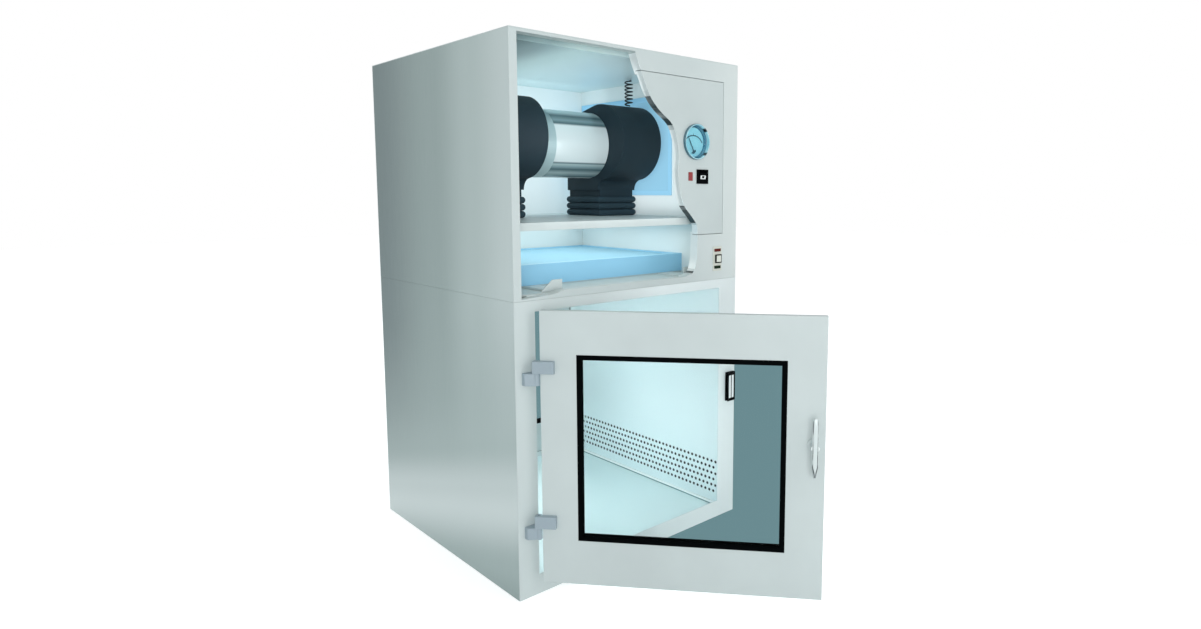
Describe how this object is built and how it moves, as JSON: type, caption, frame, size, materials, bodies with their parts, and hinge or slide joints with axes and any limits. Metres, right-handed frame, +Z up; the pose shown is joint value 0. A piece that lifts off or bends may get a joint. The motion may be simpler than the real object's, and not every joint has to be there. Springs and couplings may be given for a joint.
{
  "type": "cleanroom pass box",
  "caption": "Upright transfer cabinet with a glazed door front and rear, and over its chamber a sectioned fan and filter module that blows clean air down.",
  "frame": {"origin": "middle of the cabinet's base plate, at floor level", "axes": "+Z up, the front with the open door faces -Y, +X to the right seen from the front"},
  "size_m": [0.72, 1.2345, 1.25],
  "materials": {
    "satin_steel": "satin, brushed up and down",
    "panel_grey": "satin powder coat",
    "pale_liner": "smooth pale enamel",
    "inner_grey": "satin",
    "zinc_sheet": "dull zinc",
    "bright_steel": "fine ground",
    "chrome": "polished",
    "hinge_grey": "satin blue-grey",
    "black_seal": "matt black",
    "neck_rubber": "matt",
    "navy_housing": "satin",
    "motor_pale": "smooth gloss",
    "filter_blue": "smooth sky blue",
    "filter_sheet": "pleated fibre",
    "door_glass": "tinted, clear",
    "clear_glass": "clear",
    "lamp_white": "gloss white",
    "gauge_blue": "gloss",
    "needle_dark": "satin",
    "switch_black": "satin black",
    "lens_red": "gloss, tinted",
    "spring_dark": "dark oxide"
  },
  "bodies": {
    "cabinet": {"base_plate": "zinc_sheet", "base_rails": "zinc_sheet", "lower_side_panels": "satin_steel", "front_face_frame": "panel_grey", "rear_face_frame": "panel_grey", "side_liners": "pale_liner", "return_grille": "pale_liner", "chamber_floor": "pale_liner", "kick_strips": "pale_liner", "ceiling_diffuser": "pale_liner", "plenum_walls": "pale_liner", "lamp_housing": "lamp_white", "lamp_tube": "lamp_white", "door_keepers": "switch_black", "frame_hinge_halves": "hinge_grey", "hinge_pins": "bright_steel", "upper_side_panels": "satin_steel", "top_cover": "panel_grey", "upper_back_panel": "panel_grey", "front_fascia": "panel_grey", "access_panel": "panel_grey", "ceiling_liner": "inner_grey", "inner_rear_wall": "pale_liner", "duct_wall": "pale_liner", "prefilter_frame": "filter_blue", "prefilter_media": "filter_sheet", "filter_deck": "pale_liner", "filter_rails": "pale_liner", "filter_clamps": "panel_grey", "filter_gasket": "black_seal", "filter_frame": "filter_blue", "filter_media": "filter_sheet", "blower_shelf": "panel_grey", "neck_bellows": "neck_rubber", "scroll_housings": "navy_housing", "motor_housing": "motor_pale", "motor_end_bells": "motor_pale", "motor_stator": "zinc_sheet", "hanger_springs": "spring_dark", "control_box": "panel_grey", "gauge_case": "gauge_blue", "gauge_glass": "clear_glass", "switch_housing": "switch_black", "indicator_plate": "lamp_white", "indicator_lenses": "lens_red"},
    "front_door": {"front_door_leaf": "panel_grey", "front_door_glass": "door_glass", "front_door_gaskets": "black_seal", "front_door_hinges": "hinge_grey"},
    "front_handle": {"front_latch": "chrome"},
    "rear_door": {"rear_door_leaf": "panel_grey", "rear_door_glass": "door_glass", "rear_door_gaskets": "black_seal", "rear_door_hinges": "hinge_grey"},
    "rear_handle": {"rear_latch": "chrome"},
    "blower_rotor": {"rotor_shaft": "bright_steel", "blower_wheels": "zinc_sheet"},
    "needle": {"gauge_needle": "needle_dark"},
    "rocker": {"switch_rocker": "switch_black"},
    "button": {"interlock_button": "lamp_white"}
  },
  "joints": [
    {"name": "front_door_hinge", "type": "hinge", "parent": "cabinet", "child": "front_door", "pos_m": [-0.3205, -0.362, 0.345], "axis": [0, 0, 1], "range_deg": [-59.6, 50.4]},
    {"name": "front_handle_turn", "type": "hinge", "parent": "front_door", "child": "front_handle", "pos_m": [0.05909, -0.82084, 0.384], "axis": [0.7705, 0.6374, 0], "range_deg": [0, 90]},
    {"name": "rear_door_hinge", "type": "hinge", "parent": "cabinet", "child": "rear_door", "pos_m": [-0.3205, 0.362, 0.345], "axis": [0, 0, 1], "range_deg": [0, 110]},
    {"name": "rear_handle_turn", "type": "hinge", "parent": "rear_door", "child": "rear_handle", "pos_m": [0.275, 0.362, 0.384], "axis": [0, 1, 0], "range_deg": [0, 90]},
    {"name": "blower_spin", "type": "hinge", "parent": "cabinet", "child": "blower_rotor", "pos_m": [0, 0.014, 1.0415], "axis": [1, 0, 0], "continuous": true},
    {"name": "needle_swing", "type": "hinge", "parent": "cabinet", "child": "needle", "pos_m": [0.198, -0.33, 1.016], "axis": [0, 1, 0], "range_deg": [-25, 85]},
    {"name": "switch_rock", "type": "hinge", "parent": "cabinet", "child": "rocker", "pos_m": [0.222, -0.333, 0.95], "axis": [1, 0, 0], "range_deg": [-16, 0]},
    {"name": "button_press", "type": "slide", "parent": "cabinet", "child": "button", "axis": [0, 1, 0], "range_m": [0, 0.003], "stiffness_N_per_m": 200, "springref_m": -0.003}
  ]
}
